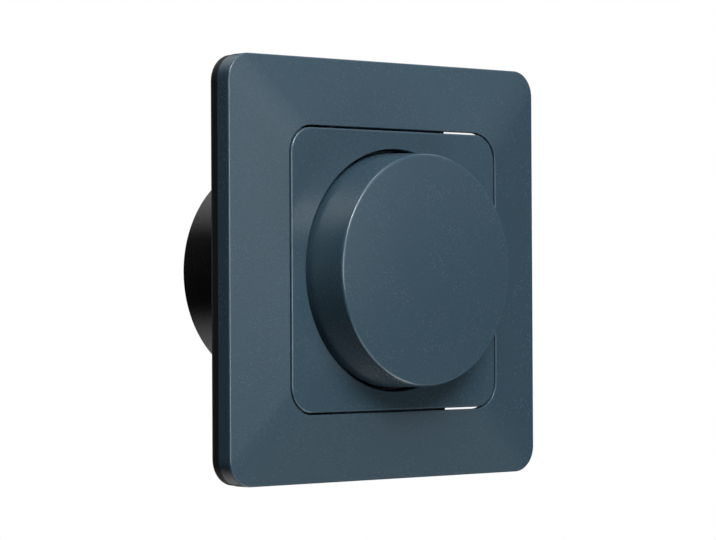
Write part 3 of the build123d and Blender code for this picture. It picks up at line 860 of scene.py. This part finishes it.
@dataclass
class CoverFrame(Assembly):
    """Blue-grey frame with a sloping band, a side skirt and snap hooks."""

    corner: float = 5.2
    edge_height: float = 5.5
    edge_round: float = 0.3
    edge_rub_highlight: float = 1.0
    wall: float = 1.8
    skirt_foot: float = 2.0
    foot_round: float = 0.2
    foot_rub_highlight: float = 0.4
    face_height: float = 7.8
    band_loops: int = 5
    opening_half: float = 27.95
    opening_corner: float = 5.6
    opening_round: float = 0.15
    opening_rub_highlight: float = 0.6
    hook_place: float = 27.45
    hook_width: float = 6.0
    hook_reach: float = 36.15
    hook_thickness: float = 1.5
    hook_bite: float = 1.1
    hook_foot: float = 0.3
    hook_nose: float = 0.9
    hook_round: float = 0.12

    def rings(self) -> list[Ring]:
        """Shape the shell's section, from the skirt's foot round the band and back.

        Returns:
            The loops of the shell.
        """
        half = Extent.of("cover_frame").half
        outer = (half, self.corner)
        inner = (half - self.wall, self.corner - self.wall)
        opening = (self.opening_half, self.opening_corner)
        made = section([
            Bend(*outer, self.skirt_foot, self.foot_round, self.foot_rub_highlight),
            Bend(*outer, self.edge_height, self.edge_round, self.edge_rub_highlight),
            Bend(*opening, self.face_height, self.opening_round, self.opening_rub_highlight),
            Bend(*opening, self.face_height - self.wall, self.opening_round),
            Bend(*inner, self.edge_height - self.wall),
            Bend(*inner, self.skirt_foot, self.foot_round),
        ])
        edge_end = half - 2 * self.edge_round
        band = next(index for index, ring in enumerate(made) if ring.half < edge_end)
        between = graded(made[band - 1], made[band], self.band_loops)
        return made[:band] + between + made[band:]

    def add_hooks(self, shell: Shell) -> None:
        """Add the eight snap hooks behind the band.

        Args:
            shell: The mesh to add them to.
        """
        band_width = Extent.of("cover_frame").half - self.opening_half
        slope = (self.face_height - self.edge_height) / band_width
        root = self.face_height - self.wall / 2 - slope * (self.hook_reach - self.opening_half)
        inner = self.hook_reach - self.hook_thickness
        outline = (
            (inner, root),
            (self.hook_reach, root),
            (self.hook_reach, self.hook_nose),
            (self.hook_reach + self.hook_bite, self.hook_nose),
            (self.hook_reach, self.hook_foot),
            (inner, self.hook_foot),
        )
        for turn in QUARTER_TURNS:
            for side in BOTH_SIDES:
                middle = side * self.hook_place
                ends = (middle - self.hook_width / 2, middle + self.hook_width / 2)
                shell.bar(outline, ends, turn, self.hook_round)

    def build(self) -> None:
        """Build the frame and put it in its place."""
        shell = Shell()
        shell.sweep(self.rings(), square_angles())
        self.add_hooks(shell)
        self.settle(shell.piece("frame_shell"), "cover_frame", Body.BASE, Slot.COVER)


@dataclass
class CentrePlate(Assembly):
    """Blue-grey square plate with the round well of the knob."""

    half: float = 27.55
    corner: float = 5.2
    wall: float = 1.5
    edge_round: float = 0.3
    edge_rub_highlight: float = 0.8
    skirt_foot: float = 4.6
    skirt_round: float = 0.15
    well_radius: float = 23.95
    well_round: float = 0.3
    mouth_round: float = 0.12
    mouth_rub_highlight: float = 0.5
    floor_top: float = 4.2
    floor_back: float = 2.8
    hole_radius: float = 5.1
    hole_round: float = 0.1
    tongue_length: float = 30.8
    tongue_top: float = 5.6
    brace_reach: float = 33.2
    bar_round: float = 0.12
    peg_radius: float = 1.2
    peg_ring: float = 14.0
    peg_round: float = 0.2
    peg_points: int = 32

    def rings(self) -> list[Ring]:
        """Shape the plate's section, from its skirt over the face into the well and back.

        Returns:
            The loops of the plate.
        """
        face = Extent.of("centre_plate").front
        well = self.well_radius
        hole = self.hole_radius
        cup = well + self.wall
        outer = (self.half, self.corner)
        inner = (self.half - self.wall, self.corner - self.wall)
        return section([
            Bend(*outer, self.skirt_foot, self.skirt_round),
            Bend(*outer, face, self.edge_round, self.edge_rub_highlight),
            Bend(well, well, face, self.mouth_round, self.mouth_rub_highlight),
            Bend(well, well, self.floor_top, self.well_round),
            Bend(hole, hole, self.floor_top, self.hole_round),
            Bend(hole, hole, self.floor_back, self.hole_round),
            Bend(cup, cup, self.floor_back, self.well_round),
            Bend(cup, cup, face - self.wall),
            Bend(*inner, face - self.wall),
            Bend(*inner, self.skirt_foot, self.skirt_round),
        ])

    def add_tongues(self, shell: Shell) -> None:
        """Add the tongues that reach behind the frame and the braces in the corners.

        Args:
            shell: The mesh to add them to.
        """
        reach = Extent.of("centre_plate")
        sink = self.wall / 2
        tongue = block(self.half - sink, reach.half, self.skirt_foot, self.tongue_top)
        brace = block(-sink, sink, self.skirt_foot, reach.front - sink)
        tongue_ends = (-self.tongue_length / 2, self.tongue_length / 2)
        brace_ends = (self.well_radius + sink, self.brace_reach)
        for turn in QUARTER_TURNS:
            shell.bar(tongue, tongue_ends, turn, self.bar_round)
            shell.bar(brace, brace_ends, turn + QUARTER / 2, self.bar_round)

    def add_pegs(self, shell: Shell) -> None:
        """Add the two pegs that key the plate to the mounting plate.

        Args:
            shell: The mesh to add them to.
        """
        radius = self.peg_radius
        top = (self.floor_top + self.floor_back) / 2
        foot = Extent.of("centre_plate").rear
        peg = section([
            Bend(0.0, 0.0, top),
            Bend(radius, radius, top),
            Bend(radius, radius, foot, self.peg_round),
            Bend(0.0, 0.0, foot),
        ])
        for side in BOTH_SIDES:
            shell.sweep(peg, round_angles(self.peg_points), (0.0, side * self.peg_ring))

    def build(self) -> None:
        """Build the plate and put it in its place."""
        shell = Shell()
        shell.sweep(self.rings(), square_angles())
        self.add_tongues(shell)
        self.add_pegs(shell)
        self.settle(shell.piece("plate_shell"), "centre_plate", Body.BASE, Slot.COVER)


@dataclass
class Knob(Assembly):
    """Blue-grey hollow knob with a crowned face, a tapered side and a rounded rim."""

    diameter: float = 46.2
    face_height: float = 7.8
    draft: float = 2.3
    crown: float = 1.0
    rim_round: float = 0.5
    rim_rub_highlight: float = 1.0
    foot_round: float = 0.25
    foot_rub_highlight: float = 0.3
    wall: float = 1.7
    inner_round: float = 0.4
    hub_radius: float = 4.8
    hub_back: float = 9.6
    hub_root_round: float = 0.3
    hub_round: float = 0.2
    bore_radius: float = 3.05
    bore_flat: float = 1.55
    ribs: int = 6
    rib_start: float = 15.0
    rib_width: float = 1.2
    rib_depth: float = 3.0
    rib_sink: float = 0.3
    rib_stop: float = 2.55
    rib_round: float = 0.1
    face_steps: int = 16
    points: int = 240

    def face(self, rim: float, front: float) -> list[Bend]:
        """Shape the crowned face, from its middle nearly to the rim.

        Args:
            rim: Radius of the rim.
            front: Height of the rim.

        Returns:
            The bends along the crown's arc.
        """
        sphere = (rim ** 2 + self.crown ** 2) / (2 * self.crown)
        made = []
        for step in range(self.face_steps):
            radius = rim * step / self.face_steps
            drop = sphere - math.sqrt(sphere ** 2 - radius ** 2)
            made.append(Bend(radius, radius, front + self.crown - drop))
        return made

    def rings(self) -> list[Ring]:
        """Shape the knob's section, from the middle of its face round to the end of its bore.

        Returns:
            The loops of the knob.
        """
        reach = Extent.of("knob")
        front = reach.front - self.crown
        lean = math.tan(math.radians(self.draft))
        foot = self.diameter / 2 + (self.face_height - reach.rear) * lean
        rim = self.diameter / 2 - (front - self.face_height) * lean
        inside = front - self.wall
        hub = self.hub_radius
        bore = self.bore_radius
        return section(self.face(rim, front) + [
            Bend(rim, rim, front, self.rim_round, self.rim_rub_highlight),
            Bend(foot, foot, reach.rear, self.foot_round, self.foot_rub_highlight),
            Bend(foot - self.wall, foot - self.wall, reach.rear, self.foot_round),
            Bend(rim - self.wall, rim - self.wall, inside, self.inner_round),
            Bend(hub, hub, inside, self.hub_root_round),
            Bend(hub, hub, self.hub_back, self.hub_round),
            Bend(bore, bore, self.hub_back, flat=self.bore_flat),
            Bend(bore, bore, inside, flat=self.bore_flat),
            Bend(0.0, 0.0, inside),
        ])

    def add_ribs(self, shell: Shell) -> None:
        """Add the ribs between the hub and the side.

        Args:
            shell: The mesh to add them to.
        """
        inside = Extent.of("knob").front - self.crown - self.wall
        across = self.rib_width / 2
        outline = block(-across, across, inside - self.rib_depth, inside + self.wall / 2)
        ends = (self.hub_radius - self.rib_sink, self.diameter / 2 - self.rib_stop)
        for angle in round_angles(self.ribs):
            shell.bar(outline, ends, self.rib_start + angle, self.rib_round)

    def build(self) -> None:
        """Build the knob and put it in its place."""
        shell = Shell()
        shell.sweep(self.rings(), round_angles(self.points))
        self.add_ribs(shell)
        self.settle(shell.piece("knob_shell"), "knob", Body.KNOB, Slot.COVER)


@dataclass
class ReturnSpring(Assembly):
    """Steel coil behind the switch plunger, which shortens as the knob is pressed."""

    radius: float = 3.2
    wire_radius: float = 0.25
    turns: float = 3.0
    steps: int = 144
    sides: int = 12
    end_taper: float = 0.7
    travel: float = 1.2

    def loops(self, shell: Shell, reach: Extent) -> list[Loop]:
        """Add the points round the wire.

        Args:
            shell: The mesh to add them to.
            reach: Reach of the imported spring.

        Returns:
            One loop for each step, from the rear end to the front.
        """
        rear = reach.rear + self.wire_radius
        rise = reach.front - self.wire_radius - rear
        made = []
        for step in range(self.steps + 1):
            turn = math.tau * self.turns * step / self.steps
            middle = rear + rise * step / self.steps
            thick = self.wire_radius * (self.end_taper if step in (0, self.steps) else 1.0)
            loop = []
            for side in range(self.sides):
                tilt = math.tau * side / self.sides
                away = self.radius + thick * math.cos(tilt)
                height = middle + thick * math.sin(tilt)
                loop.append(shell.point(away * math.cos(turn), height, away * math.sin(turn)))
            made.append(loop)
        return made

    def build(self) -> None:
        """Build the coil, put it in its place and give it a mesh of its own."""
        reach = Extent.of("return_spring")
        shell = Shell()
        shell.tube(self.loops(shell, reach))
        piece = shell.piece("spring_coil")
        self.settle(piece, "return_spring", Body.BASE, Slot.STEEL)
        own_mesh(piece)


@dataclass
class Insert(Assembly):
    """Black mounting plate and wall-box insert, with the works inside it."""

    # The plate's black is set darker than the other black plastic as painted shade, and its pale
    # rear edges are a painted highlight.
    plate_finish: Finish = RimPlastic((0.0105, 0.0115, 0.012), pale=(0.1, 0.1, 0.098))

    def dress(self, nodes: Mapping[str, bpy.types.Object], record: Mapping[str, Any]) -> None:
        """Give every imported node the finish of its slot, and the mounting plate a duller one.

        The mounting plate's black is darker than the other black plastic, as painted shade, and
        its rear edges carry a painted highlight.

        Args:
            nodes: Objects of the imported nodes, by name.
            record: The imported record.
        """
        for subpart in record["subparts"]:
            node = nodes[subpart["node"]]
            node.data.materials.clear()
            node.data.materials.append(self.materials[Slot(subpart["material_slot"])])
            log.info("%s takes %s", node.name, subpart["material_slot"])
        plate = nodes["mounting_plate"]
        plate.data.materials[0] = self.plate_finish.material("mounting_plastic")
        log.info("%s takes its own finish", plate.name)


@dataclass(frozen=True)
class Lamp:
    """A soft box lamp that points at the part.

    Attributes:
        name: Name of the lamp.
        azimuth: Direction from the front in degrees, positive to the right.
        elevation: Direction above the level in degrees.
        watts: Power.
        width: Width of the box in metres.
        height: Height of the box in metres.
        distance: Distance from the part in metres.
        mirrored_only: Whether it shows only as a reflection.
    """

    name: str
    azimuth: float
    elevation: float
    watts: float
    width: float = 0.34
    height: float = 0.34
    distance: float = 1.0
    mirrored_only: bool = False

    def build(self) -> None:
        """Hang the lamp."""
        turn = math.radians(self.azimuth)
        rise = math.radians(self.elevation)
        level = math.cos(rise)
        away = Vector((math.sin(turn) * level, -math.cos(turn) * level, math.sin(rise)))
        data = bpy.data.lights.new(self.name, "AREA")
        data.shape = "RECTANGLE"
        data.size = self.width
        data.size_y = self.height
        data.energy = self.watts
        lamp = bpy.data.objects.new(self.name, data)
        lamp.location = away * self.distance
        lamp.rotation_euler = away.to_track_quat("Z", "Y").to_euler()
        lamp.visible_diffuse = not self.mirrored_only
        bpy.context.scene.collection.objects.link(lamp)


@dataclass(frozen=True)
class Card(Lamp):
    """A pale card that shows only as a reflection, for sheen and light lines on edges."""

    mirrored_only: bool = True


LAMPS: tuple[Lamp, ...] = (
    Lamp("key", azimuth=-24.0, elevation=30.0, watts=4.0),
    Lamp("key_left", azimuth=-36.0, elevation=34.0, watts=1.4),
    Lamp("key_upper", azimuth=-24.0, elevation=50.0, watts=2.1),
    Lamp("front", azimuth=-9.0, elevation=35.0, watts=1.85),
    Lamp("overhead", azimuth=-24.0, elevation=74.0, watts=2.2),
    Lamp("overhead_right", azimuth=30.0, elevation=70.0, watts=1.15),
    Lamp("under", azimuth=36.0, elevation=-48.0, watts=2.75),
    Lamp("under_right", azimuth=60.0, elevation=-60.0, watts=0.8),
    Lamp("rear_left", azimuth=-120.0, elevation=8.0, watts=0.12),
    Lamp("rear", azimuth=162.0, elevation=4.0, watts=5.0, width=0.4, height=0.4),
    Card("card_left", azimuth=9.5, elevation=18.5, watts=2.2, width=0.92, height=0.78),
    Card("card_upper", azimuth=42.0, elevation=18.0, watts=0.25, width=0.8, height=0.44),
    Card("card_lower", azimuth=42.0, elevation=-20.0, watts=0.22, width=0.8, height=0.24),
    Card("strip_left", azimuth=-21.0, elevation=2.0, watts=5.0, width=0.8, height=0.36),
    Card("strip_top", azimuth=80.0, elevation=44.0, watts=0.7, width=0.5),
    Card("strip_corner", azimuth=-24.0, elevation=36.0, watts=5.0, width=0.3, height=0.4),
    Card("strip_under", azimuth=-10.0, elevation=-48.0, watts=3.5, width=0.8, height=0.6),
)


@dataclass
class Studio:
    """White studio: a floor well below the part, soft lamps and a white backdrop behind it.

    Attributes:
        floor_level: Level of the floor in metres.
        floor_half: Half of the floor's width in metres.
        floor_cells: Number of faces along the floor.
        floor_finish: Look of the floor.
        ambient: Light of the surround on the part.
        pale: Steepness at which a mirrored surround goes from dim to white.
        below: Strength of the mirrored surround below the part.
        behind: How far behind the part a mirrored surround goes from dim to white.
        lamps: The lamps and cards.
    """

    floor_level: float = -0.15
    floor_half: float = 3.0
    floor_cells: int = 8
    floor_finish: Finish = FloorPaper()
    ambient: float = 0.015
    pale: Span = (0.38, 0.68)
    below: float = 0.85
    behind: Span = (0.2, 0.5)
    lamps: Sequence[Lamp] = LAMPS

    def build_world(self) -> None:
        """Make the surround white if seen, or mirrored high or low behind the part, else dim."""
        world = bpy.data.worlds.new("surround")
        world.use_nodes = True
        bpy.context.scene.world = world
        graph = Graph(world.node_tree)
        rays = graph.node("ShaderNodeLightPath")
        way = graph.axes(graph.node("ShaderNodeTexCoord").out("Generated"))
        above = way.out("Z").between(*self.pale)
        below = (0.0 - way.out("Z")).between(*self.pale) * self.below
        behind = way.out("Y").between(*self.behind)
        mirrored = rays.out("Is Glossy Ray") * (above | below) * behind
        direct = rays.out("Is Camera Ray") | rays.out("Is Transmission Ray")
        shade = graph.mix(direct | mirrored, rgba(WHITE, self.ambient), rgba(WHITE))
        light = graph.node("ShaderNodeBackground", None, {"Color": shade})
        graph.node("ShaderNodeOutputWorld", None, {"Surface": light.out()})

    def build_floor(self) -> None:
        """Lay the floor."""
        mesh = bmesh.new()
        cells = self.floor_cells
        bmesh.ops.create_grid(mesh, x_segments=cells, y_segments=cells, size=self.floor_half)
        bmesh.ops.translate(mesh, verts=mesh.verts, vec=(0, 0, self.floor_level))
        data = bpy.data.meshes.new("studio_floor")
        mesh.to_mesh(data)
        mesh.free()
        data.materials.append(self.floor_finish.material("floor_paper"))
        floor = bpy.data.objects.new("studio_floor", data)
        bpy.context.scene.collection.objects.link(floor)
        floor.visible_diffuse = False
        floor.visible_glossy = False
        floor.visible_shadow = False

    def build(self) -> None:
        """Set up the surround, the floor and the lamps."""
        bpy.context.scene.view_settings.view_transform = "Standard"
        self.build_world()
        self.build_floor()
        for lamp in self.lamps:
            lamp.build()
            log.info("lamp %s", lamp.name)


@dataclass(frozen=True)
class PhotoCamera:
    """Camera that stands where the photograph was taken.

    Attributes:
        place: Place in metres.
        yaw: Turn to the right from facing the wall, in degrees.
        pitch: Tilt upwards in degrees.
        roll: Turn about the line of sight in degrees.
        focal: Focal length in pixels of the image.
        image_width: Width of the image in pixels.
        sensor_width: Width of the sensor in millimetres.
        nearest: Least distance that is rendered, in metres.
    """

    place: Place = (-0.4086, -0.4369, -0.0063)
    yaw: float = 42.87
    pitch: float = 0.62
    roll: float = -0.277
    focal: float = 2999.4
    image_width: int = 716
    sensor_width: float = 36.0
    nearest: float = 0.01

    def build(self) -> None:
        """Place the camera and make it the scene's own."""
        yaw, pitch, roll = (math.radians(angle) for angle in (self.yaw, self.pitch, self.roll))
        level = math.cos(pitch)
        right = Vector((math.cos(yaw), -math.sin(yaw), 0.0))
        ahead = Vector((math.sin(yaw) * level, math.cos(yaw) * level, math.sin(pitch)))
        above = right.cross(ahead)
        turned_right = right * math.cos(roll) + above * math.sin(roll)
        turned_above = above * math.cos(roll) - right * math.sin(roll)
        turn = Matrix((turned_right, turned_above, -ahead)).transposed()
        data = bpy.data.cameras.new("photo_camera")
        data.sensor_fit = "HORIZONTAL"
        data.sensor_width = self.sensor_width
        data.lens = self.sensor_width * self.focal / self.image_width
        data.clip_start = self.nearest
        camera = bpy.data.objects.new("photo_camera", data)
        camera.matrix_world = Matrix.Translation(self.place) @ turn.to_4x4()
        bpy.context.scene.collection.objects.link(camera)
        bpy.context.scene.camera = camera


def main() -> None:
    """Build the looks of the part in order."""
    logging.basicConfig(level=logging.INFO, format="%(name)s: %(message)s")
    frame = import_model()
    materials = {slot: finish.material(slot.value) for slot, finish in FINISHES.items()}
    Insert(materials).dress(frame["nodes"], frame["record"])
    CoverFrame(materials).build()
    CentrePlate(materials).build()
    Knob(materials).build()
    ReturnSpring(materials).build()
    Studio().build()
    PhotoCamera().build()


if __name__ == "__main__":
    main()
